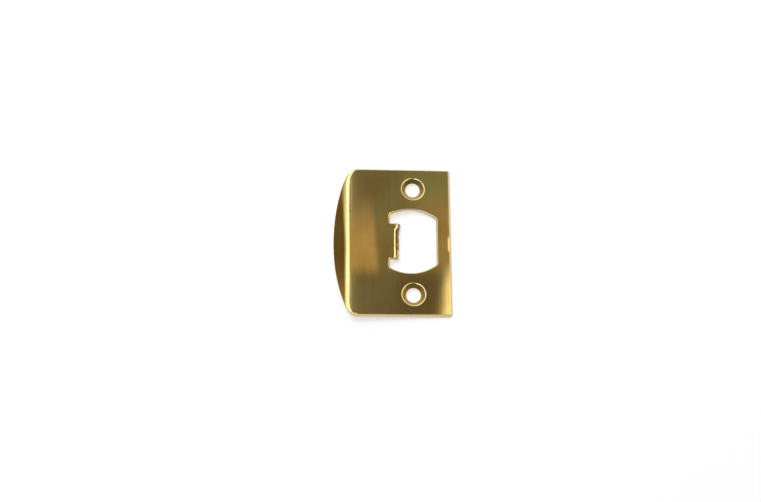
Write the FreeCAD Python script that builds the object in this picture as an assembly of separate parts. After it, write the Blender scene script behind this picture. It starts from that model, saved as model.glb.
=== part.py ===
import FreeCAD, Part
import math
import os
from FreeCAD import Vector

# A full-lip door strike plate: one piece of brass sheet, blanked, pierced and folded.
# Millimetres. The show face looks along +Z and the back that lies on the jamb is z = 0.
# The screw centreline is the Y axis, and the lip turns back on the -X side.

# Sheet
SHEET = 1.6            # thickness of the brass
EDGE_ROLL = 0.75       # rounding that blanking and polishing leave on the show-side outline

# Flat of the plate
PLATE_HEIGHT = 58.0    # along the jamb
SQUARE_EDGE = 14.5     # screw centreline to the straight edge
SQUARE_CORNER = 1.2    # rounding of the two square corners in plan

# Lip
FOLD_START = 24.0      # screw centreline to the line where the fold begins
FOLD_INSIDE = 1.4      # inside radius of the fold
LIP_ANGLE = 43.0       # turn of the fold, degrees
LIP_REACH = 8.4        # fold start to the tip, measured over the show side
LIP_ARC = 55.0         # radius of the curved end on the blank
LIP_CORNER = 6.0       # rounding between the curved end and the long edges

# Screw holes
SCREW_SPACING = 41.275
SCREW_HOLE = 5.5       # diameter of the straight wall
SINK_ANGLE = 90.0      # included angle of the countersink, degrees
SINK_LAND = 0.1        # straight wall left below the countersink
SINK_ROLL = 0.6        # rounding of the countersink's rim

# Latch opening, barrel shaped
LATCH_WIDTH = 17.6
LATCH_HEIGHT = 24.8
LATCH_ARC = 15.0       # radius of the curved top and bottom
LATCH_SHIFT = 1.1      # screw centreline to the middle of those curves, towards the lip
LATCH_CORNER = 1.0     # rounding where they meet the straight sides
LATCH_ROLL = 0.45      # rounding that piercing leaves on its show-side edge

# Adjusting tang on the lip side of the opening
TANG_WIDTH = 14.0
TANG_FLAT = 1.4        # opening's side to the line where the tang turns down
TANG_INSIDE = 0.4      # inside radius of its bend
TANG_ANGLE = 62.0      # turn of its bend, degrees
TANG_TIP = 1.3         # straight length after the bend
TANG_ROLL = 0.5        # rounding of its show-side edges

FOLD_STATIONS = 33     # places along the fold where the outline is carried over
SAME = 1e-6            # closer than this is the same place

HALF_HEIGHT = PLATE_HEIGHT / 2
FOLD_OUTSIDE = FOLD_INSIDE + SHEET
FOLD_TURN = math.radians(LIP_ANGLE)
FOLD_LENGTH = FOLD_OUTSIDE * FOLD_TURN
FOLD_AXIS = Vector(-FOLD_START, 0, SHEET - FOLD_OUTSIDE)
ARC_CENTRE = LIP_ARC - FOLD_START - LIP_REACH
ROOM = 2 * (PLATE_HEIGHT + SQUARE_EDGE + FOLD_START + LIP_REACH)


def line(start, end):
    return Part.LineSegment(start, end).toShape()


def arc(start, middle, end):
    return Part.Arc(start, middle, end).toShape()


def uprights(solid, x):
    """The edges that run through the thickness at plus or minus x."""
    found = []
    for edge in solid.Edges:
        ends = [vertex.Point for vertex in edge.Vertexes]
        upright = len(ends) == 2 and (ends[0] - ends[1]).cross(Vector(0, 0, 1)).Length < SAME
        if upright and abs(abs(ends[0].x) - abs(x)) < SAME:
            found.append(edge)
    return found


def make_blank():
    """The flat blank: three straight edges and one curved end, its corners rounded."""
    corner = ARC_CENTRE - math.sqrt(LIP_ARC ** 2 - HALF_HEIGHT ** 2)
    square_top = Vector(SQUARE_EDGE, HALF_HEIGHT, 0)
    square_bottom = Vector(SQUARE_EDGE, -HALF_HEIGHT, 0)
    lip_top = Vector(corner, HALF_HEIGHT, 0)
    lip_bottom = Vector(corner, -HALF_HEIGHT, 0)
    tip = Vector(ARC_CENTRE - LIP_ARC, 0, 0)
    outline = Part.Wire([
        line(square_bottom, square_top),
        line(square_top, lip_top),
        arc(lip_top, tip, lip_bottom),
        line(lip_bottom, square_bottom),
    ])
    blank = Part.Face(outline).extrude(Vector(0, 0, SHEET))
    blank = blank.makeFillet(LIP_CORNER, uprights(blank, corner))
    return blank.makeFillet(SQUARE_CORNER, uprights(blank, SQUARE_EDGE))


def slab(left, right):
    """Everything between two lines across the blank."""
    return Part.makeBox(right - left, ROOM, ROOM, Vector(left, -ROOM / 2, -ROOM / 2))


def half_width(x):
    """Half the blank's height at x: straight edge, then corner, then curved end."""
    corner_y = HALF_HEIGHT - LIP_CORNER
    inset = LIP_ARC - LIP_CORNER
    corner_x = ARC_CENTRE - math.sqrt(inset ** 2 - corner_y ** 2)
    corner_end = ARC_CENTRE - (ARC_CENTRE - corner_x) * LIP_ARC / inset
    if x > corner_x:
        return HALF_HEIGHT
    if x > corner_end:
        return corner_y + math.sqrt(LIP_CORNER ** 2 - (corner_x - x) ** 2)
    return math.sqrt(LIP_ARC ** 2 - (ARC_CENTRE - x) ** 2)


def half_width_slope(x):
    """How fast the half width falls towards the tip at x."""
    step = math.sqrt(SAME) / 10
    return (half_width(x - step) - half_width(x + step)) / (2 * step)


def fold_point(radius, turn, y):
    return FOLD_AXIS + Vector(-radius * math.sin(turn), y, radius * math.cos(turn))


def fold_edge(radius, side):
    """The blank's outline carried round the fold at one radius. Inner layers lag behind the
    show side in the middle of the fold and meet it at both ends, so the walls run on smoothly."""
    points = []
    for station in range(FOLD_STATIONS):
        share = station / (FOLD_STATIONS - 1)
        lag = (FOLD_OUTSIDE - radius) * FOLD_TURN * math.sin(2 * math.pi * share) / (2 * math.pi)
        x = -FOLD_START - FOLD_LENGTH * share + lag
        points.append(fold_point(radius, FOLD_TURN * share, side * half_width(x)))
    start = Vector(-1, side * half_width_slope(-FOLD_START), 0)
    fall = side * half_width_slope(-FOLD_START - FOLD_LENGTH)
    end = Vector(-math.cos(FOLD_TURN), fall, -math.sin(FOLD_TURN))
    curve = Part.BSplineCurve()
    curve.interpolate(Points=points, InitialTangent=start, FinalTangent=end)
    return curve.toShape()


def fold_skin(radius):
    """One side of the fold: a piece of a cylinder inside the outline. Gives face and edges."""
    upper = fold_edge(radius, 1)
    lower = fold_edge(radius, -1)
    first = line(upper.Vertexes[0].Point, lower.Vertexes[0].Point)
    last = line(upper.Vertexes[-1].Point, lower.Vertexes[-1].Point)
    bow = arc(*[fold_point(radius, FOLD_TURN * share, 0) for share in (0, 0.5, 1)])
    drum = bow.extrude(Vector(0, ROOM, 0)).Faces[0].Surface
    face = Part.Face(drum, Part.Wire([upper, last, lower, first]))
    face.validate()
    return face, [upper, last, lower, first]


def make_fold():
    """The folded strip between the flat and the lip, closed by walls square to the sheet."""
    show, show_edges = fold_skin(FOLD_OUTSIDE)
    back, back_edges = fold_skin(FOLD_INSIDE)
    walls = [Part.makeRuledSurface(a, b) for a, b in zip(show_edges, back_edges)]
    shell = Part.makeShell([show, back] + walls)
    shell.sewShape()
    fold = Part.Solid(shell)
    if fold.Volume < 0:
        fold.reverse()
    return fold


def make_plate():
    """The blank with its lip folded back and its show-side outline rolled over."""
    blank = make_blank()
    flat = blank.common(slab(-FOLD_START, ROOM))
    lip = blank.common(slab(-ROOM, -FOLD_START - FOLD_LENGTH))
    lip.translate(Vector(FOLD_LENGTH, 0, 0))
    lip.rotate(FOLD_AXIS, Vector(0, -1, 0), LIP_ANGLE)
    plate = flat.fuse([make_fold(), lip]).removeSplitter().Solids[0]
    # The roll is started on the straight edge and runs on round the whole outline.
    seed = [edge for edge in plate.Edges if edge.CenterOfMass.distanceToPoint(
        Vector(SQUARE_EDGE, 0, SHEET)) < SAME]
    return plate.makeFillet(EDGE_ROLL, seed)


def latch_punch():
    """The punch that pierces the latch opening."""
    reach = LATCH_WIDTH / 2

    def on_curve(x, side):
        drop = LATCH_ARC - math.sqrt(LATCH_ARC ** 2 - (x + LATCH_SHIFT) ** 2)
        return Vector(x, side * (LATCH_HEIGHT / 2 - drop), 0)

    outline = Part.Wire([
        line(on_curve(reach, -1), on_curve(reach, 1)),
        arc(on_curve(reach, 1), on_curve(-LATCH_SHIFT, 1), on_curve(-reach, 1)),
        line(on_curve(-reach, 1), on_curve(-reach, -1)),
        arc(on_curve(-reach, -1), on_curve(-LATCH_SHIFT, -1), on_curve(reach, -1)),
    ])
    punch = Part.Face(outline).extrude(Vector(0, 0, SHEET))
    return punch.makeFillet(LATCH_CORNER, uprights(punch, reach))


def screw_sink():
    """A screw hole's straight wall and countersink, as one turned tool."""
    hole = SCREW_HOLE / 2
    flare = math.tan(math.radians(SINK_ANGLE / 2))
    mouth = hole + flare * (2 * SHEET - SINK_LAND)
    profile = Part.makePolygon([
        Vector(0, 0, -SHEET),
        Vector(hole, 0, -SHEET),
        Vector(hole, 0, SINK_LAND),
        Vector(mouth, 0, 2 * SHEET),
        Vector(0, 0, 2 * SHEET),
        Vector(0, 0, -SHEET),
    ])
    return Part.Face(profile).revolve(Vector(0, 0, 0), Vector(0, 0, 1), 360)


def make_tang():
    """The adjusting tang: its section across the plate, drawn out to its width and rolled."""
    turn = math.radians(TANG_ANGLE)
    outside = TANG_INSIDE + SHEET
    root = -LATCH_WIDTH / 2 - LATCH_ROLL - SHEET
    axis = Vector(-LATCH_WIDTH / 2 + TANG_FLAT, -TANG_WIDTH / 2, SHEET - outside)
    down = Vector(math.cos(turn), 0, -math.sin(turn)) * TANG_TIP

    def bend(radius, share):
        return axis + Vector(math.sin(turn * share), 0, math.cos(turn * share)) * radius

    def level(z):
        return Vector(root, -TANG_WIDTH / 2, z)

    section = Part.Wire([
        line(level(0), level(SHEET)),
        line(level(SHEET), bend(outside, 0)),
        arc(bend(outside, 0), bend(outside, 0.5), bend(outside, 1)),
        line(bend(outside, 1), bend(outside, 1) + down),
        line(bend(outside, 1) + down, bend(TANG_INSIDE, 1) + down),
        line(bend(TANG_INSIDE, 1) + down, bend(TANG_INSIDE, 1)),
        arc(bend(TANG_INSIDE, 1), bend(TANG_INSIDE, 0.5), bend(TANG_INSIDE, 0)),
        line(bend(TANG_INSIDE, 0), level(0)),
    ])
    tang = Part.Face(section).extrude(Vector(0, TANG_WIDTH, 0))
    nose = bend(outside, 1) + down + Vector(0, TANG_WIDTH / 2, 0)
    sides = [bend(outside, 1) + down / 2 + Vector(0, y, 0) for y in (0, TANG_WIDTH)]
    edges = [edge for edge in tang.Edges for place in sides + [nose]
             if edge.CenterOfMass.distanceToPoint(place) < SAME]
    return tang.makeFillet(TANG_ROLL, edges)


def show_edges(solid, reach_x, reach_y, middle):
    """The show-face edges that lie within a rectangle about a place on the face."""
    found = []
    for edge in solid.Edges:
        box = edge.BoundBox
        on_face = abs(box.ZMin - SHEET) < SAME and abs(box.ZMax - SHEET) < SAME
        near = box.Center - middle
        inside_x = abs(near.x) + box.XLength / 2 < reach_x + SAME
        inside_y = abs(near.y) + box.YLength / 2 < reach_y + SAME
        if on_face and inside_x and inside_y:
            found.append(edge)
    return found


plate = make_plate()

plate = plate.cut(latch_punch())
plate = plate.makeFillet(LATCH_ROLL, show_edges(
    plate, LATCH_WIDTH / 2, LATCH_HEIGHT / 2, Vector(0, 0, SHEET)))

sink_reach = SCREW_HOLE / 2 + math.tan(math.radians(SINK_ANGLE / 2)) * (SHEET - SINK_LAND)
for screw_y in (SCREW_SPACING / 2, -SCREW_SPACING / 2):
    sink = screw_sink()
    sink.translate(Vector(0, screw_y, 0))
    plate = plate.cut(sink)
    plate = plate.makeFillet(SINK_ROLL, show_edges(
        plate, sink_reach, sink_reach, Vector(0, screw_y, SHEET)))

plate = plate.fuse(make_tang()).removeSplitter().Solids[0]

os.makedirs("parts", exist_ok=True)
plate.exportStep("parts/strike_plate.step")
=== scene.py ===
import math

import bpy
import numpy as np
from mathutils.geometry import delaunay_2d_cdt
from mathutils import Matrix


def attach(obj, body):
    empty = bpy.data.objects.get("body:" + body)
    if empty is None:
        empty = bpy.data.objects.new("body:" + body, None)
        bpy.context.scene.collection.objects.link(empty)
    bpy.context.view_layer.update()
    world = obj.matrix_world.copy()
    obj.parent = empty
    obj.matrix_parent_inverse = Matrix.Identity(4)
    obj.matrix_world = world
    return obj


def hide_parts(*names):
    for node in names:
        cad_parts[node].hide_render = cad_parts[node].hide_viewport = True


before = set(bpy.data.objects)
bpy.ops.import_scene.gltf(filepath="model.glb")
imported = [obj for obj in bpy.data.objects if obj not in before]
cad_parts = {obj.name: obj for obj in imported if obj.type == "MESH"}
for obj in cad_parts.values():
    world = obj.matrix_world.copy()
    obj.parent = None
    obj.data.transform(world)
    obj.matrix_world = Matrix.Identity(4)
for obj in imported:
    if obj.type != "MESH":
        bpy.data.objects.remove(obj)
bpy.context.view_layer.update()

# The blank
# A full-lip strike plate starts as one flat piece of 1.6 mm brass sheet, blanked in a press.
# Three of its edges are straight and the lip's end is a long curve, with corners rounded in plan.
# The tool bevels the show-side edge all the way round, and polishing rolls the bevel over.

SHEET = 1.6            # mm, as every length here until the mesh is made
EDGE_ROLL = 0.95       # width of the worn show-side edge
EDGE_LEAN = math.radians(60)   # steepness of the bevel within it
EDGE_BREAK = 0.3       # the roll between the face and the bevel
EDGE_EASE = 0.5        # the roll between the bevel and the wall
BURR_ROLL = 0.05       # the small rounding that tumbling leaves on the back edges
HALF_HEIGHT = 29.0
SQUARE_EDGE = 14.5     # centreline of the holes to the straight edge
SQUARE_CORNER = 1.2
LIP_TIP = 32.4         # centreline of the holes to the lip's tip, before folding
LIP_ARC = 55.0
LIP_CORNER = 6.0
SAME = 1e-6            # lengths closer than this count as one


def curved_edge(centre, radius, angles, metal, roll):
    """An edge along a circle: centre + radius * (cos a, sin a) at the given angles in degrees.
    Each row holds the point, the unit way into the metal (away from the centre for metal = 1,
    towards it for -1) and the roll of the show side there."""
    a = np.radians(angles)
    ray = np.column_stack([np.cos(a), np.sin(a)])
    rolls = np.broadcast_to(roll, a.shape)
    return np.column_stack([np.asarray(centre) + radius * ray, metal * ray, rolls])


def straight_edge(start, end, count, metal, roll):
    """An edge along a line: start + share * (end - start), with one way into the metal."""
    share = np.linspace(0, 1, count)[:, None]
    points = np.asarray(start) + share * (np.asarray(end) - np.asarray(start))
    rest = np.broadcast_to([*metal, roll], (count, 3))
    return np.column_stack([points, rest])


def closed_edge(*runs):
    """Runs of the upper half joined, then carried back below as their mirror image in y = 0."""
    upper = np.concatenate(runs)
    keep = np.ones(len(upper), bool)
    keep[1:] = np.linalg.norm(np.diff(upper[:, :2], axis=0), axis=1) > SAME
    upper = upper[keep]
    lower = upper[::-1] * [1, -1, 1, -1, 1]
    return np.concatenate([upper, lower[np.abs(lower[:, 1]) > SAME]])


lip_centre = LIP_ARC - LIP_TIP
corner_y = HALF_HEIGHT - LIP_CORNER
corner_x = lip_centre - math.sqrt((LIP_ARC - LIP_CORNER) ** 2 - corner_y ** 2)
lip_angle = math.degrees(math.atan2(corner_y, corner_x - lip_centre))
# Closer together at the corners, where the fold crosses the curve.
lip_angles = 180 - (180 - lip_angle) * np.sin(np.linspace(math.pi / 2, 0, 64))
blank_edge = closed_edge(
    curved_edge((SQUARE_EDGE - SQUARE_CORNER, HALF_HEIGHT - SQUARE_CORNER), SQUARE_CORNER,
                np.linspace(0, 90, 17), -1, EDGE_ROLL),
    curved_edge((corner_x, corner_y), LIP_CORNER,
                np.linspace(90, lip_angle, 49), -1, EDGE_ROLL),
    curved_edge((lip_centre, 0), LIP_ARC, lip_angles, -1, EDGE_ROLL))

# The latch opening and its tang
# One stroke pierces the barrel-shaped opening for the latch bolt and leaves a tab on the lip side.
# The tab is the tang that the fitter bends to take up rattle. It is part of the same sheet, so
# its outline is part of the opening's edge.

LATCH_SIDE = 8.8       # centreline of the holes to the opening's straight sides
LATCH_TOP = 12.4
LATCH_ARC = 15.0
LATCH_SHIFT = 1.1      # the curved top and bottom are centred this much towards the lip
LATCH_CORNER = 1.0
LATCH_ROLL = 0.45
NOTCH = 0.3            # inside corner between the opening's side and the tang
TANG_HALF = 7.0
TANG_FLAT = 1.25       # opening's side to where the tang turns down
TANG_OUTSIDE = 2.0     # outside radius of its bend
TANG_TURN = math.radians(62)
TANG_TIP = 1.45        # straight end past the bend
TANG_ROLL = 0.5
TANG_CORNER = 0.6
TANG_TEAR = 0.07       # height of the longest of the waves in its torn end
TEAR_WHOLE = 5.4       # distance from the tang's middle within which they are whole
GLEAMS = ((-8.2, 10.6, 1.5), (-8.9, -8.9, 1.8))   # x, y and reach of the two best buffed corners
GLEAM_ROLL = 0.28      # extra rounding there
FAR_ROLL = 0.12        # extra rounding along the opening's far side
FAR_FROM = 5.5         # x where that begins

latch_y = LATCH_TOP - LATCH_ARC


def latch_corner(side):
    """Centre and joining angle of the rounding between a straight side and the curved top: one
    corner radius in from the side, and that much inside the curve."""
    x = side * (LATCH_SIDE - LATCH_CORNER)
    reach = LATCH_ARC - LATCH_CORNER
    y = math.sqrt(reach ** 2 - (x + LATCH_SHIFT) ** 2)
    return (x, latch_y + y), math.degrees(math.atan2(y, x + LATCH_SHIFT))


far_centre, far_angle = latch_corner(1)
near_centre, near_angle = latch_corner(-1)
tang_tip = -LATCH_SIDE + TANG_FLAT + TANG_OUTSIDE * TANG_TURN + TANG_TIP
latch_edge = closed_edge(
    curved_edge(far_centre, LATCH_CORNER, np.linspace(0, far_angle, 17), 1, LATCH_ROLL),
    curved_edge((-LATCH_SHIFT, latch_y), LATCH_ARC,
                np.linspace(far_angle, near_angle, 65), 1, LATCH_ROLL),
    curved_edge(near_centre, LATCH_CORNER, np.linspace(near_angle, 180, 17), 1, LATCH_ROLL),
    curved_edge((NOTCH - LATCH_SIDE, TANG_HALF + NOTCH), NOTCH, np.linspace(180, 270, 13), 1,
                np.linspace(LATCH_ROLL, TANG_ROLL, 13)),
    straight_edge((NOTCH - LATCH_SIDE, TANG_HALF), (tang_tip - TANG_CORNER, TANG_HALF), 61,
                  (0, -1), TANG_ROLL),
    curved_edge((tang_tip - TANG_CORNER, TANG_HALF - TANG_CORNER), TANG_CORNER,
                np.linspace(90, 0, 13), -1, TANG_ROLL),
    straight_edge((tang_tip, TANG_HALF - TANG_CORNER), (tang_tip, 0), 61, (-1, 0), TANG_ROLL))


def ease(low, high, value):
    """Rises from 0 at low to 1 at high with no kink: 3 s^2 - 2 s^3 of the share s in between."""
    share = np.clip((value - low) / (high - low), 0, 1)
    return share * share * (3 - 2 * share)


# The tang's end is torn off rather than cut, so it wanders a little between its corners.
y = latch_edge[:, 1]
torn_end = latch_edge[:, 0] > tang_tip - SAME
between = ease(TANG_HALF - TANG_CORNER, TEAR_WHOLE, np.abs(y))
wander = np.sin(2.3 * y + 0.6) + 0.7 * np.sin(5.9 * y + 2) + 0.5 * np.sin(13 * y)
latch_edge[:, 0] += torn_end * TANG_TEAR * between * wander


def gleam(x, y):
    """How much polish the buffing wheel left on two corners of the opening: the sum, over the two,
    of e to the power of minus the square of distance over reach."""
    return sum(np.exp(-((x - at_x) ** 2 + (y - at_y) ** 2) / reach ** 2)
               for at_x, at_y, reach in GLEAMS)


# The wheel rounded those corners more, and the straight far side a little.
latch_edge[:, 4] += (GLEAM_ROLL * gleam(latch_edge[:, 0], latch_edge[:, 1])
                     + FAR_ROLL * ease(FAR_FROM, LATCH_SIDE, latch_edge[:, 0]))

# The fixing holes
# Two holes in the brass, 1-5/8 in apart, drilled through and countersunk at 90 degrees.
# Polishing rounds the countersink's rim, which is the thin bright ring round each hole.

HOLE_SPACING = 41.275
HOLE_RADIUS = 2.75     # of the straight wall
SINK_LAND = 0.1        # straight wall left below the countersink
SINK_ROLL = 0.9
SINK_BREAK = 0.05      # rounding between the countersink and the straight wall

hole_edges = [curved_edge((0, side * HOLE_SPACING / 2), HOLE_RADIUS,
                          np.linspace(0, 360, 129)[:-1], 1, 0) for side in (1, -1)]

# The sheet's skin
# Every edge has one section through the sheet's thickness, carried along the edge: a roll, a wall
# and a small burr roll at the back. The two faces fill what is left between the edges, with more
# points where the brass will be bent.

FOLD_START = 24.0      # centreline of the holes to the line where the fold begins
FOLD_OUTSIDE = 3.0     # its outside radius
FOLD_TURN = math.radians(43)
FOLD_LOOSE = 1.0       # how much wider it is at the plate's upper end, where the sheet sprang back
FOLD_DRIFT = 0.4       # how much nearer the lip it starts there
FOLD_CURL = 3.2        # how far its start follows the rounded corner in from the lip
BEND_START = TANG_FLAT - LATCH_SIDE
TANG_PITCH = 0.11      # spacing of the extra points across the tang's bend
FOLD_PITCH = 0.16      # and across the fold
BEND_LEAD = 0.3        # how far before its bend the tang's points begin
FOLD_LEAD = 0.2        # how far the fold's points go past it on both sides
TIP_GAP = 0.2          # room left free of these points at the tang's tip
SIDE_GAP = 0.4         # along the tang's sides
EDGE_GAP = 0.35        # along the blank's edge
END_GAP = 1.0          # and at the plate's two ends
CROWDING = 1.25        # radians of sine that bring the fold's rows closer at the corners


def rolled_section(roll):
    """The section of a blanked edge, one row per path point: depth into the metal, height and
    lean of the normal. A quarter circle of the roll's radius, a wall, a quarter of the burr's."""
    over = np.linspace(0, math.pi / 2, 13)
    under = np.linspace(math.pi / 2, math.pi, 5)
    roll = roll[:, None]
    depth = np.hstack([roll * (1 - np.sin(over)),
                       np.broadcast_to(BURR_ROLL * (1 - np.sin(under)), (len(roll), 5))])
    height = np.hstack([SHEET - roll * (1 - np.cos(over)),
                        np.broadcast_to(BURR_ROLL * (1 + np.cos(under)), (len(roll), 5))])
    return depth, height, np.broadcast_to(np.hstack([over, under]), depth.shape)


def bevelled_section(count):
    """The section of the blank's own edge: a small roll off the face, a steep bevel left by the
    blanking tool, a wider roll into the wall, and the burr roll at the back."""
    over = np.linspace(0, EDGE_LEAN, 9)
    down = np.linspace(EDGE_LEAN, math.pi / 2, 7)
    under = np.linspace(math.pi / 2, math.pi, 5)
    sin, cos = math.sin(EDGE_LEAN), math.cos(EDGE_LEAN)
    run = (EDGE_ROLL - EDGE_BREAK * sin - EDGE_EASE * (1 - sin)) / cos
    knee = SHEET - EDGE_BREAK * (1 - cos) - run * sin
    depth = np.hstack([EDGE_ROLL - EDGE_BREAK * np.sin(over), EDGE_EASE * (1 - np.sin(down)),
                       BURR_ROLL * (1 - np.sin(under))])
    height = np.hstack([SHEET - EDGE_BREAK * (1 - np.cos(over)),
                        knee - EDGE_EASE * (cos - np.cos(down)),
                        BURR_ROLL * (1 + np.cos(under))])
    lean = np.hstack([over, down, under])
    return [np.broadcast_to(row, (count, len(lean))) for row in (depth, height, lean)]


def sunk_section(count):
    """The section of a countersunk hole: an eighth of a circle over the rim, the cone at 45
    degrees, a small rounding into the straight wall, and the burr roll at the back."""
    rim = np.linspace(0, math.pi / 4, 9)
    foot = np.linspace(math.pi / 4, math.pi / 2, 5)
    under = np.linspace(math.pi / 2, math.pi, 5)
    mouth = SHEET - SINK_LAND + SINK_ROLL * math.tan(math.pi / 8)
    foot_height = SINK_LAND + SINK_BREAK * (1 - math.sqrt(2))
    depth = np.hstack([mouth - SINK_ROLL * np.sin(rim), SINK_BREAK * (1 - np.sin(foot)),
                       BURR_ROLL * (1 - np.sin(under))])
    height = np.hstack([SHEET - SINK_ROLL * (1 - np.cos(rim)),
                        foot_height + SINK_BREAK * np.cos(foot),
                        BURR_ROLL * (1 + np.cos(under))])
    lean = np.hstack([rim, foot, under])
    return [np.broadcast_to(row, (count, len(lean))) for row in (depth, height, lean)]


def carry_section(edge, section):
    """A section carried along a closed edge: point = edge + depth * (way into the metal), at the
    section's height; normal = cos(lean) up and sin(lean) out of the metal. Gives a grid."""
    depth, height, lean = section
    inward = edge[:, None, 2:4]
    points = np.concatenate([edge[:, None, :2] + depth[..., None] * inward,
                             height[..., None]], axis=2)
    normals = np.concatenate([-np.sin(lean)[..., None] * inward,
                              np.cos(lean)[..., None]], axis=2)
    rows, across = depth.shape
    index = np.arange(rows * across).reshape(rows, across)
    after = np.roll(index, -1, axis=0)
    quads = np.stack([index[:, :-1], after[:, :-1], after[:, 1:], index[:, 1:]], axis=2)
    return points, normals, quads.reshape(-1, 4)


def inside(points, loop):
    """Which points lie inside a closed loop: an odd number of its sides pass to their right."""
    x, y = points[:, :1], points[:, 1:]
    (ax, ay), (bx, by) = loop.T, np.roll(loop, -1, axis=0).T
    spans = (ay > y) != (by > y)
    rise = np.where(by == ay, 1, by - ay)
    return (spans & (x < ax + (y - ay) * (bx - ax) / rise)).sum(axis=1) % 2 == 1


def fill_face(loops, within):
    """The face between an outer loop and the holes in it, as triangles that use the loops' own
    points and the ones within."""
    starts = np.cumsum([0] + [len(loop) for loop in loops])
    points = np.concatenate(loops + [within])
    sides = [np.column_stack([np.arange(len(loop)), np.roll(np.arange(len(loop)), -1)]) + start
             for loop, start in zip(loops, starts)]
    made = delaunay_2d_cdt(points.tolist(), np.concatenate(sides).tolist(), [], 1, 1e-7)
    if len(made[0]) != len(points):
        raise RuntimeError("the face's loops cross")
    triangles = np.array(made[2])
    middle = points[triangles].mean(axis=1)
    metal = inside(middle, loops[0])
    for loop in loops[1:]:
        metal &= ~inside(middle, loop)
    return triangles[metal]


edges = [blank_edge, latch_edge] + hole_edges
sections = [bevelled_section(len(blank_edge)), rolled_section(latch_edge[:, 4])]
sections += [sunk_section(len(edge)) for edge in hole_edges]
strips = [carry_section(edge, section) for edge, section in zip(edges, sections)]

# The tang and the fold are bent unevenly, so each gets a grid of points within its outline.
tang_side = TANG_HALF - TANG_ROLL - SIDE_GAP
tang_grid = np.stack(np.meshgrid(
    np.arange(BEND_START - BEND_LEAD, tang_tip - TANG_ROLL - TIP_GAP, TANG_PITCH),
    np.linspace(-tang_side, tang_side, 49)), axis=2).reshape(-1, 2)
fold_end = FOLD_START + FOLD_DRIFT + (FOLD_OUTSIDE + FOLD_LOOSE) * FOLD_TURN
fold_rows = np.sin(np.linspace(-CROWDING, CROWDING, 65)) / math.sin(CROWDING)
fold_grid = np.stack(np.meshgrid(
    np.arange(-fold_end - FOLD_LEAD, FOLD_LEAD + FOLD_CURL - FOLD_START, FOLD_PITCH),
    (HALF_HEIGHT - END_GAP) * fold_rows), axis=2).reshape(-1, 2)
fold_limit = blank_edge[:, :2] + (EDGE_ROLL + EDGE_GAP) * blank_edge[:, 2:4]
fold_grid = fold_grid[inside(fold_grid, fold_limit)]
bend_points = np.concatenate([tang_grid, fold_grid])

points, normals, faces = [], [], []
for strip_points, strip_normals, quads in strips:
    faces.append(quads + sum(map(len, points)))
    points.append(strip_points.reshape(-1, 3))
    normals.append(strip_normals.reshape(-1, 3))
for row, height, outward in ((0, SHEET, 1), (-1, 0, -1)):
    loops = [strip_points[:, row, :2] for strip_points, _, _ in strips]
    triangles = fill_face(loops, bend_points)
    triangles = np.column_stack([triangles, triangles[:, 2]])
    faces.append(triangles + sum(map(len, points)))
    flat = np.concatenate(loops + [bend_points])
    points.append(np.column_stack([flat, np.full(len(flat), height)]))
    normals.append(np.tile([0, 0, outward], (len(flat), 1)))
flat_points, normals, faces = map(np.concatenate, (points, normals, faces))

# Every face is turned to look the way its normals do. A triangle has its last point twice.
a, b, c = (flat_points[faces[:, i]] for i in range(3))
looks = sum(normals[faces[:, i]] for i in range(3))
wrong = np.einsum("ij,ij->i", np.cross(b - a, c - a), looks) < 0
turned = faces[wrong]
faces[wrong] = np.where((turned[:, 2] == turned[:, 3])[:, None],
                        turned[:, [0, 2, 1, 1]], turned[:, ::-1])

# The fold and the bend
# The lip is folded back so that the latch rides up it, over an inside radius of 1.4 mm that grows
# to 2.4 at the plate's upper end, and the tang is bent down into the opening. Both keep the brass
# sheet's thickness and turn the section with them, so the finished plate is one piece.

CURL_FROM = 20.6       # height on the plate where the fold's start begins to follow the corner
LOWER_CURL = 0.95      # the lower corner is followed later: this share of its height counts
LOOSE_FROM = -4.0      # height where the fold begins to loosen
LOOSE_WHOLE = 22.0     # and where it is loosest
TANG_WAVE = 0.05       # height of the longest of the waves in the line of the tang's bend
TANG_SWAY = 0.9        # how much later the tang's upper end starts to turn
TANG_SLACK = 0.2       # share of the turn that is missing there
SWAY_FROM = 3.7        # height on the tang where that begins
SWAY_WHOLE = 5.8       # and where it is whole
STEP = 1e-4            # short step along the skin
MM = 0.001             # one millimetre in the mesh's metres

on_lip = flat_points[:, 0] < FOLD_CURL - FOLD_START
on_tang = ((flat_points[:, 0] > BEND_START) & (flat_points[:, 0] < 0)
           & (np.abs(flat_points[:, 1]) < TANG_HALF + SAME))


def turn_sheet(points, start, way, outside, turn):
    """The sheet beyond the line x = start turned down round a bend: arc length over the outside
    radius is the angle, height in the sheet is the radius, and what is past the bend runs on
    straight. way is the side, 1 for +x and -1 for -x."""
    along = way * (points[:, 0] - start)
    angle = np.clip(along / outside, 0, turn)
    beyond = along - outside * angle
    radius = outside - SHEET + points[:, 2]
    return np.column_stack([
        start + way * (radius * np.sin(angle) + beyond * np.cos(angle)), points[:, 1],
        SHEET - outside + radius * np.cos(angle) - beyond * np.sin(angle)])


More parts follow.
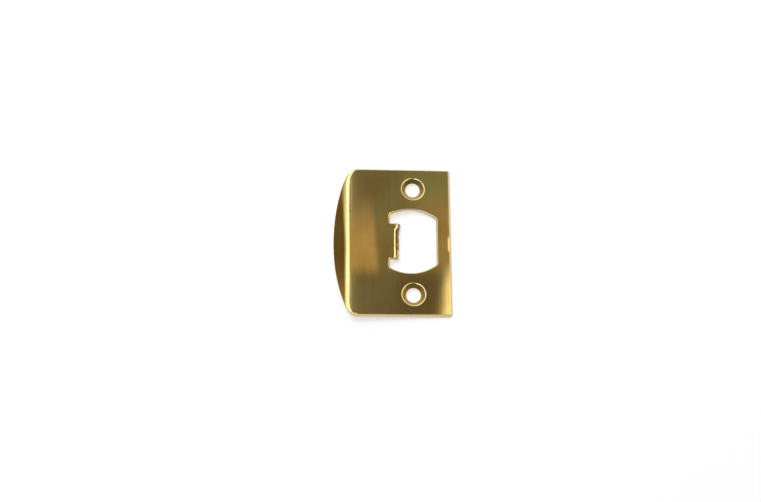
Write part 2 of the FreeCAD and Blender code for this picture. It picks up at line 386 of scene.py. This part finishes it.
def bent_sheet(flat):
    """The flat sheet after both bends. The fold is looser towards the plate's upper end, and its
    start curls in at the corners by the cube of the share of the way up them. The tang's bend
    wavers, and it starts later and turns less towards its upper end."""
    bent = flat.copy()
    y = flat[on_lip, 1]
    loose = ease(LOOSE_FROM, LOOSE_WHOLE, y)
    climb = np.where(y > 0, y, -LOWER_CURL * y) - CURL_FROM
    curl = np.clip(climb / (HALF_HEIGHT - CURL_FROM), 0, 1) ** 3
    start = FOLD_CURL * curl - FOLD_START - FOLD_DRIFT * loose
    bent[on_lip] = turn_sheet(flat[on_lip], start, -1, FOLD_OUTSIDE + FOLD_LOOSE * loose,
                              FOLD_TURN)
    y = flat[on_tang, 1]
    sway = ease(SWAY_FROM, SWAY_WHOLE, y)
    wave = TANG_WAVE * (1.6 + np.sin(2.3 * y) + 0.6 * np.sin(5.1 * y + 1))
    bent[on_tang] = turn_sheet(flat[on_tang], BEND_START + TANG_SWAY * sway + wave, 1,
                               TANG_OUTSIDE, TANG_TURN * (1 - TANG_SLACK * sway))
    return bent


def bent_step(way):
    """What the bends make of a short step along way, from just behind each point to just ahead."""
    return bent_sheet(flat_points + STEP * way) - bent_sheet(flat_points - STEP * way)


points = bent_sheet(flat_points)
# A bent normal is the cross product of two short steps along the skin, after the bend.
aside = np.cross(normals, np.where(np.abs(normals[:, :1]) < 0.7, [[1, 0, 0]], [[0, 1, 0]]))
across = np.cross(normals, aside)
normals = np.cross(bent_step(aside), bent_step(across))
normals /= np.linalg.norm(normals, axis=1, keepdims=True)

# One mesh: points that the strips and the faces share become one, and each face keeps the exact
# normals of the shape it was cut from.
_, first, shared = np.unique(np.round(flat_points / 1e-5).astype(np.int64), axis=0,
                             return_index=True, return_inverse=True)
shared = shared.reshape(-1)
corners = [face[:3] if face[2] == face[3] else face for face in faces.tolist()]
plate_mesh = bpy.data.meshes.new("folded_brass_plate")
plate_mesh.from_pydata((points[first] * MM).tolist(), [],
                       [[int(shared[i]) for i in face] for face in corners])
plate_mesh.polygons.foreach_set("use_smooth", np.ones(len(corners), bool))
plate_mesh.normals_split_custom_set(normals[[i for face in corners for i in face]].tolist())

# What the tools left on each point, with painted shade: sheared edges, the tang's torn end and the
# drilled cones, where the torn end and the cones are also coloured darker as painted shade. The
# lean of an edge's section, in degrees, tells how far round the edge a point lies, and each ease
# gives the lean or the place where a mark begins and where it is whole.
section_leans = np.concatenate([section[2].ravel() for section in sections])
lean = np.zeros(len(points))
lean[:len(section_leans)] = np.degrees(section_leans)
blank, latch, hole = range(3)
of_edge = np.full(len(points), -1)
of_edge[:len(section_leans)] = np.repeat([blank, latch, hole, hole],
                                         [section[2].size for section in sections])
x, y = flat_points[:, 0], flat_points[:, 1]
past_bend = np.where(on_tang, x - BEND_START, 0)
upper_end = ease(4.4, 5.4, y)
lower_end = ease(-3.0, -4.6, y)
blank_wall = 0.85 * ease(28, 55, lean)
latch_wall = (1 - 0.95 * gleam(x, y)) * ease(3, 28, lean)
hole_wall = np.maximum(0.6 * ease(60, 80, lean), 0.3 * ease(2, 10, lean) * ease(44, 36, lean))
walls = np.select([of_edge == blank, of_edge == latch, of_edge == hole],
                  [blank_wall, latch_wall, hole_wall], 0) * (lean < 135)
sheared = np.maximum.reduce([walls, 0.8 * ease(0.4, 1.0, past_bend) * upper_end,
                             0.7 * ease(0.9, 1.3, past_bend) * lower_end])
# The tang past its bend gets the dark speckled colour. This is its torn surface and also painted
# shade where it is bent down into the opening. It fades towards both ends of the tang.
torn_and_shaded = (ease(0.6, 0.95, past_bend - TANG_SWAY * ease(SWAY_FROM, SWAY_WHOLE, y))
        * (1 - 0.8 * lower_end) * (1 - 0.8 * ease(4.6, 5.6, y)))
# Painted shade: the countersunk cones, and a little of their rims, are coloured darker as well as
# made rougher.
cone = np.select([lean < 44, lean < 46], [0.35, 0.85], 0)
drilled_and_shaded = (of_edge == hole) * ease(2, 14, lean) * cone
tool_marks_and_shade = plate_mesh.attributes.new("tool_marks_and_shade", "FLOAT_VECTOR", "POINT")
marks = np.column_stack([sheared, torn_and_shaded, drilled_and_shaded])[first].astype(np.float32)
tool_marks_and_shade.data.foreach_set("vector", marks.ravel())
plate_mesh.update()


def add_object(name, data):
    """A new object with the given mesh, light or camera, put in the scene."""
    obj = bpy.data.objects.new(name, data)
    bpy.context.scene.collection.objects.link(obj)
    return obj


plate = add_object("folded_brass_plate", plate_mesh)
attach(plate, "root")
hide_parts("strike_plate")

# Polished brass
# Yellow brass, rolled to sheet, buffed along its length and left bright. Buffing leaves a mirror
# with faint lengthwise lines, and a thin uneven tarnish that dulls it in clouds. Sheared walls and
# the bent tang are never buffed, so they stay darker, rougher and speckled. The tang's dark end is
# partly its torn surface and partly painted shade, and the countersunk cones are coloured darker
# as painted shade.

BUFF_LINE = 0.4        # mm across a buffing line; the real ones are about 0.05, too fine to show
BUFF_RUN = 30.0        # mm along it
BUFF_DEPTH = 0.0016    # mm
TARNISH = 14.0         # mm across a cloud of tarnish
SPECKLE = 0.5          # mm across a spot on the torn end
PIT_DEPTH = 0.08       # mm
BARE_ROUGHNESS = 0.32  # of metal that was never buffed


def linear(code):
    """An sRGB hex colour as linear red, green, blue and alpha."""
    parts = [int(code[i:i + 2], 16) / 255 for i in (1, 3, 5)]
    return [p / 12.92 if p <= 0.04045 else ((p + 0.055) / 1.055) ** 2.4 for p in parts] + [1]


def empty_material(name):
    """A material with no nodes yet."""
    material = bpy.data.materials.new(name)
    material.use_nodes = True
    material.node_tree.nodes.clear()
    return material


def add_node(tree, kind, inputs=(), **settings):
    """Adds a node, sets its properties or input sockets by name, then links each of the inputs to
    a socket or sets it to a value."""
    node = tree.nodes.new(kind)
    for name, value in settings.items():
        if hasattr(node, name):
            setattr(node, name, value)
        else:
            node.inputs[name.replace("_", " ")].default_value = value
    for name, source in dict(inputs).items():
        if isinstance(source, bpy.types.NodeSocket):
            tree.links.new(source, node.inputs[name])
        else:
            node.inputs[name].default_value = source
    return node


brass = empty_material("polished_brass")
tree = brass.node_tree
where = add_node(tree, "ShaderNodeTexCoord")
marks = add_node(tree, "ShaderNodeAttribute", attribute_name="tool_marks_and_shade")
marks = add_node(tree, "ShaderNodeSeparateXYZ", {0: marks.outputs["Vector"]})
sheared, torn_and_shaded, drilled_and_shaded = (marks.outputs[axis] for axis in "XYZ")
lengthwise = add_node(tree, "ShaderNodeMapping", {"Vector": where.outputs["Object"]},
                      Scale=(1 / (BUFF_LINE * MM), 1 / (BUFF_RUN * MM), 1 / (BUFF_LINE * MM)))
buffing = add_node(tree, "ShaderNodeTexNoise", {"Vector": lengthwise.outputs["Vector"]},
                   Scale=1.0, Detail=3.0, Roughness=0.6)
clouds = add_node(tree, "ShaderNodeTexNoise", {"Vector": where.outputs["Object"]},
                  Scale=1 / (TARNISH * MM), Detail=4.0, Roughness=0.55)
tone = add_node(tree, "ShaderNodeMix", {"A": clouds.outputs["Fac"], "B": buffing.outputs["Fac"]},
                Factor=0.35)
buffed = add_node(tree, "ShaderNodeValToRGB", {"Fac": tone.outputs["Result"]})
speckle = add_node(tree, "ShaderNodeTexNoise", {"Vector": where.outputs["Object"]},
                   Scale=1 / (SPECKLE * MM), Detail=2.0)
torn_and_shaded_end = add_node(tree, "ShaderNodeValToRGB", {"Fac": speckle.outputs["Fac"]})
# The second ramp colours the tang's torn end. Its dark tones are partly painted shade.
for ramp, stops in ((buffed, ((0.37, "#E4BC66"), (0.63, "#F5D683"))),
                    (torn_and_shaded_end, ((0.46, "#6C541E"), (0.68, "#C49A4C")))):
    for stop, (place, code) in zip(ramp.color_ramp.elements, stops):
        stop.position = place
        stop.color = linear(code)
# Sockets 6 and 7 of a colour mix are its two colours, and output 2 is the mix.
# The countersunk cones' darker colour is painted shade.
cone_shade_mix = add_node(tree, "ShaderNodeMix", {"Factor": drilled_and_shaded, 6: buffed.outputs["Color"],
                                         7: linear("#A08A42")}, data_type="RGBA")
cut = add_node(tree, "ShaderNodeMix", {"Factor": sheared, 6: cone_shade_mix.outputs[2],
                                       7: linear("#C8BB97")}, data_type="RGBA")
# The tang's dark, speckled end: its torn surface, partly painted shade.
surface = add_node(tree, "ShaderNodeMix", {"Factor": torn_and_shaded, 6: cut.outputs[2],
                                           7: torn_and_shaded_end.outputs["Color"]}, data_type="RGBA")
gloss = add_node(tree, "ShaderNodeMapRange", {"Value": tone.outputs["Result"]},
                 From_Min=0.3, From_Max=0.7, To_Min=0.06, To_Max=0.035)
worked = add_node(tree, "ShaderNodeMath", {0: sheared, 1: torn_and_shaded}, operation="MAXIMUM")
worked = add_node(tree, "ShaderNodeMath", {0: worked.outputs[0], 1: drilled_and_shaded}, operation="MAXIMUM")
rough = add_node(tree, "ShaderNodeMix", {"Factor": worked.outputs[0],
                                         "A": gloss.outputs["Result"]}, B=BARE_ROUGHNESS)
lines = add_node(tree, "ShaderNodeBump", {"Height": buffing.outputs["Fac"]},
                 Strength=1.0, Distance=BUFF_DEPTH * MM)
grain = add_node(tree, "ShaderNodeMath", {0: speckle.outputs["Fac"], 1: torn_and_shaded},
                 operation="MULTIPLY")
pits = add_node(tree, "ShaderNodeBump", {"Height": grain.outputs["Value"],
                                         "Normal": lines.outputs["Normal"]},
                Strength=1.0, Distance=PIT_DEPTH * MM)
shader = add_node(tree, "ShaderNodeBsdfPrincipled",
                  {"Base Color": surface.outputs[2], "Roughness": rough.outputs["Result"],
                   "Normal": pits.outputs["Normal"]}, Metallic=1.0, Coat_Weight=0.4,
                  Coat_Roughness=0.05)
add_node(tree, "ShaderNodeOutputMaterial", {"Surface": shader.outputs["BSDF"]})
plate_mesh.materials.append(brass)

# The floor
# White paper that the plate lies on, resting on its straight edge and on the lip's tip. It glows
# for the camera and in the metal, so that the ground looks white, and it is clear from below.

FLOOR_TILT = math.radians(5.94)
FLOOR_REACH = 6000.0   # mm
FLOOR_GAP = 0.03       # mm between the plate and the paper
PAPER_GLOW = 0.62


def level_grid(name, x, y, height):
    """A grid over the lines x and y, in mm, each point at height(x, y), as a stage object."""
    grid_x, grid_y = (grid.ravel() for grid in np.meshgrid(x, y, indexing="ij"))
    index = np.arange(len(x) * len(y)).reshape(len(x), len(y))
    quads = np.stack([index[:-1, :-1], index[1:, :-1], index[1:, 1:], index[:-1, 1:]], axis=2)
    grid_points = np.column_stack([grid_x, grid_y, height(grid_x, grid_y)])
    mesh = bpy.data.meshes.new(name)
    mesh.from_pydata((grid_points * MM).tolist(), [], quads.reshape(-1, 4).tolist())
    obj = add_object(name, mesh)
    return obj


floor_lines = np.linspace(-FLOOR_REACH, FLOOR_REACH, 3)
floor = level_grid("paper_floor", floor_lines, floor_lines,
                   lambda x, y: (x - SQUARE_EDGE) * math.tan(FLOOR_TILT) - FLOOR_GAP)

paper = empty_material("white_paper")
tree = paper.node_tree
path = add_node(tree, "ShaderNodeLightPath")
seen = add_node(tree, "ShaderNodeMath", {0: path.outputs["Is Camera Ray"],
                                         1: path.outputs["Is Glossy Ray"]},
                operation="MAXIMUM")
seen = add_node(tree, "ShaderNodeMath", {0: seen.outputs[0],
                                         1: path.outputs["Is Transmission Ray"]},
                operation="MAXIMUM")
glow = add_node(tree, "ShaderNodeMath", {0: seen.outputs[0], 1: PAPER_GLOW}, operation="MULTIPLY")
light = add_node(tree, "ShaderNodeEmission", {"Strength": glow.outputs[0]},
                 Color=linear("#FFFFFF"))
matt = add_node(tree, "ShaderNodeBsdfDiffuse", Color=linear("#ACACAC"))
both = add_node(tree, "ShaderNodeAddShader", {0: light.outputs[0], 1: matt.outputs[0]})
clear = add_node(tree, "ShaderNodeBsdfTransparent")
geometry = add_node(tree, "ShaderNodeNewGeometry")
side = add_node(tree, "ShaderNodeMixShader", {0: geometry.outputs["Backfacing"],
                                              1: both.outputs[0], 2: clear.outputs[0]})
add_node(tree, "ShaderNodeOutputMaterial", {"Surface": side.outputs[0]})
floor.data.materials.append(paper)

# The light
# Soft panels overhead on the left and right, dim cards that the flat face mirrors, a dark flag by
# the lip, a lamp for the shadow and a dim room. None is seen by the camera: the metal shows them.

RAGGED_LENGTH = 0.9    # mm along a panel's ragged end from one waver to the next


def light_panel(name, height, x, y, fade_x, fade_y, strength, colour, slant=0.0, tilt=0.0,
                ragged=0.0, hides=1.0, lights=False):
    """A level panel over the plate, from x[0] to x[1] and y[0] to y[1] in mm, whose glow rises
    from nothing over fade_x and fade_y inside each of its sides. slant shears x by y, tilt shears
    y by x, and ragged is how far, in mm, its ends in y waver along x. hides is the share of what is
    above it that it hides where its glow is full. One that lights the floor is not seen in the
    metal, and the others are seen only there."""
    middle_y = MM * (y[0] + y[1]) / 2
    obj = level_grid(name, np.array(x, float), np.array(y, float),
                     lambda grid_x, grid_y: np.full(grid_x.shape, float(height)))
    spots = np.zeros(12)
    obj.data.vertices.foreach_get("co", spots)
    spots = spots.reshape(4, 3)
    spots[:, 0] += slant * (spots[:, 1] - middle_y)
    spots[:, 1] -= tilt * spots[:, 0]
    obj.data.vertices.foreach_set("co", spots.ravel())
    material = empty_material(name)
    tree = material.node_tree
    where = add_node(tree, "ShaderNodeTexCoord")
    axes = add_node(tree, "ShaderNodeSeparateXYZ", {0: where.outputs["Object"]})
    across = add_node(tree, "ShaderNodeMath", {0: axes.outputs["Y"], 1: -slant,
                                               2: axes.outputs["X"]}, operation="MULTIPLY_ADD")
    upright = add_node(tree, "ShaderNodeMath", {0: axes.outputs["X"], 1: tilt,
                                                2: axes.outputs["Y"]}, operation="MULTIPLY_ADD")
    waver = add_node(tree, "ShaderNodeTexNoise", {"W": axes.outputs["X"]}, noise_dimensions="1D",
                     Scale=1 / (RAGGED_LENGTH * MM), Detail=3.0)
    along = add_node(tree, "ShaderNodeMath", {0: waver.outputs["Fac"], 1: 2 * ragged * MM,
                                              2: upright.outputs[0]}, operation="MULTIPLY_ADD")
    glow = 1.0
    for source, (low, high), (fade_low, fade_high), move in (
            (across.outputs[0], x, fade_x, -slant * middle_y),
            (along.outputs[0], y, fade_y, ragged * MM)):
        for outer, inner in ((low, low + fade_low), (high, high - fade_high)):
            ramp = add_node(tree, "ShaderNodeMapRange", {"Value": source},
                            interpolation_type="SMOOTHSTEP", From_Min=outer * MM + move,
                            From_Max=inner * MM + move)
            glow = add_node(tree, "ShaderNodeMath", {0: glow, 1: ramp.outputs["Result"]},
                            operation="MULTIPLY").outputs[0]
    shine = add_node(tree, "ShaderNodeMath", {0: glow, 1: strength}, operation="MULTIPLY")
    emission = add_node(tree, "ShaderNodeEmission", {"Strength": shine.outputs[0]},
                        Color=linear(colour))
    behind = add_node(tree, "ShaderNodeMath", {0: glow, 1: -hides, 2: 1.0},
                      operation="MULTIPLY_ADD")
    clear = add_node(tree, "ShaderNodeBsdfTransparent", {"Color": behind.outputs[0]})
    both = add_node(tree, "ShaderNodeAddShader", {0: clear.outputs[0], 1: emission.outputs[0]})
    add_node(tree, "ShaderNodeOutputMaterial", {"Surface": both.outputs[0]})
    obj.data.materials.append(material)
    obj.visible_camera = False
    obj.visible_shadow = False
    obj.visible_diffuse = lights
    obj.visible_glossy = not lights


# On the left, one panel lights the paper and three make the pale strip along the fold.
light_panel("panel_left", 600, (-1300, -9.5), (-120, 1000), (1050, 4), (80, 200), 1.95, "#FFF4FF",
            lights=True)
light_panel("near_left", 601, (-400, -9.5), (-700, 1000), (240, 4), (200, 200), 2.9, "#DEE4FF")
light_panel("low_left", 602, (-1050, -9.5), (-250, 175), (760, 4), (80, 100), 2.0, "#DFE6FF",
            tilt=0.239)
light_panel("far_left", 603, (-1500, -9.5), (-120, 1000), (1400, 4), (80, 200), 0.95, "#F0FFF8")
# On the right, two panels make the gleam at the lower corner, and a card dims what is beside it.
light_panel("dim_card", 598, (30, 88), (60, 184), (26, 8), (10, 24), 0.12, "#FFF2E4", slant=0.105)
light_panel("far_right", 599, (170, 700), (-260, 520), (60, 160), (80, 80), 2.2, "#FDFFFC")
light_panel("panel_right", 600, (82.5, 700), (-260, 520), (12, 160), (80, 80), 1.5, "#FDFFFC",
            slant=0.105)
# Overhead, dim cards give the flat face its cool and warm parts and the short gleam at its edge.
light_panel("cool_card", 592, (10, 300), (188, 480), (75, 60), (40, 80), 0.255, "#ECFFF4")
light_panel("glow_card", 590, (25, 260), (134, 256), (70, 60), (26, 66), 0.34, "#FFEBD2")
light_panel("streak_card", 40, (18.05, 19.6), (6.6, 14.2), (0.25, 0.2), (1.6, 1.6), 1.2, "#FFF4E4",
            hides=0.0)
light_panel("warm_card", 121.6, (-27, -6.7), (16, 66), (5, 3.0), (9, 34), 0.475, "#FFEBCD",
            slant=-0.09, ragged=5.0)
light_panel("warm_spill", 121.8, (-14, 12), (14, 72), (3, 14), (14, 30), 0.215, "#FFFBE7")

# The flag is dark felt that stands upright 0.2 m out from the lip. It darkens the lip, most of all
# at one place along it.
FLAG_X = -220.0        # mm
FLAG_Y = (-120.0, 260.0)
FLAG_Z = (-45.0, 52.0)
FLAG_DARKEST = 57.0    # y of that place
FLAG_FADE = (10.0, 58.0)   # mm from there to where it starts to be paler and where it is palest
FLAG_GLOW = (0.14, 0.5)

flag_mesh = bpy.data.meshes.new("dark_flag")
flag_points = [(FLAG_X, FLAG_Y[0], FLAG_Z[0]), (FLAG_X, FLAG_Y[0], FLAG_Z[1]),
               (FLAG_X, FLAG_Y[1], FLAG_Z[1]), (FLAG_X, FLAG_Y[1], FLAG_Z[0])]
flag_mesh.from_pydata((np.array(flag_points) * MM).tolist(), [], [(0, 1, 2, 3)])
flag = add_object("dark_flag", flag_mesh)
flag.visible_camera = flag.visible_shadow = flag.visible_diffuse = False
felt = empty_material("dark_felt")
tree = felt.node_tree
where = add_node(tree, "ShaderNodeTexCoord")
along = add_node(tree, "ShaderNodeSeparateXYZ", {0: where.outputs["Object"]})
along = add_node(tree, "ShaderNodeMath", {0: along.outputs["Y"], 1: FLAG_DARKEST * MM},
                 operation="SUBTRACT")
along = add_node(tree, "ShaderNodeMath", {0: along.outputs[0]}, operation="ABSOLUTE")
paler = add_node(tree, "ShaderNodeMapRange", {"Value": along.outputs[0]},
                 interpolation_type="SMOOTHSTEP", From_Min=FLAG_FADE[0] * MM,
                 From_Max=FLAG_FADE[1] * MM, To_Min=FLAG_GLOW[0], To_Max=FLAG_GLOW[1])
emission = add_node(tree, "ShaderNodeEmission", {"Strength": paler.outputs["Result"]},
                    Color=linear("#FFE4B8"))
add_node(tree, "ShaderNodeOutputMaterial", {"Surface": emission.outputs[0]})
flag_mesh.materials.append(felt)

# The lamp hangs up and to the left, and is turned to the plate.
lamp_x, lamp_y, lamp_z = -0.14, 0.2, 0.85   # m
lamp_light = bpy.data.lights.new("overhead_lamp", "AREA")
lamp_light.shape = "DISK"
lamp_light.size = 0.45
lamp_light.energy = 4.0
lamp = add_object("overhead_lamp", lamp_light)
lamp.location = (lamp_x, lamp_y, lamp_z)
lamp.rotation_euler = (-math.atan2(lamp_y, lamp_z),
                       math.atan2(lamp_x, math.hypot(lamp_y, lamp_z)), 0)
lamp.visible_camera = False
lamp.visible_glossy = False

# The room is dim overhead, bright low down past the plate's upper end and along the horizon, and
# a little brighter on the left.
world = bpy.data.worlds.new("studio_room")
world.use_nodes = True
world.node_tree.nodes.clear()
tree = world.node_tree
where = add_node(tree, "ShaderNodeTexCoord")
axes = add_node(tree, "ShaderNodeSeparateXYZ", {0: where.outputs["Generated"]})
ahead = add_node(tree, "ShaderNodeMapRange", {"Value": axes.outputs["Y"]},
                 interpolation_type="SMOOTHSTEP", From_Min=0.4, From_Max=0.75, To_Min=0.165,
                 To_Max=1.1)
left = add_node(tree, "ShaderNodeMapRange", {"Value": axes.outputs["X"]},
                interpolation_type="SMOOTHSTEP", From_Min=-0.6, From_Max=-0.9, To_Min=0.0,
                To_Max=0.16)
horizon = add_node(tree, "ShaderNodeMapRange", {"Value": axes.outputs["Z"]},
                   interpolation_type="SMOOTHSTEP", From_Min=0.14, From_Max=0.02, To_Min=0.0,
                   To_Max=1.0)
sides = add_node(tree, "ShaderNodeMath", {0: ahead.outputs["Result"], 1: left.outputs["Result"]},
                 operation="ADD")
level = add_node(tree, "ShaderNodeMix", {"Factor": horizon.outputs["Result"],
                                         "A": sides.outputs[0]}, B=1.0)
room = add_node(tree, "ShaderNodeBackground", {"Strength": level.outputs["Result"]},
                Color=linear("#FFFFFF"))
add_node(tree, "ShaderNodeOutputWorld", {"Surface": room.outputs[0]})
bpy.context.scene.world = world

# The camera
# A 46 mm lens on a 36 mm sensor, 0.35 m above the plate, in front of it and towards the lip.
# It looks down at the plate, tipped 16 degrees from straight down.

CAMERA_PLACE = (-33.06, -105.95, 353.35)   # mm
CAMERA_TURN = (16.1244, -3.3451, -0.0815)   # degrees about x, y and z, from straight down

camera_data = bpy.data.cameras.new("camera")
camera_data.sensor_width = 36.0
camera_data.lens = 46.42
camera = add_object("camera", camera_data)
camera.location = [place * MM for place in CAMERA_PLACE]
camera.rotation_euler = [math.radians(turn) for turn in CAMERA_TURN]
bpy.context.scene.camera = camera
bpy.context.scene.view_settings.view_transform = "Standard"
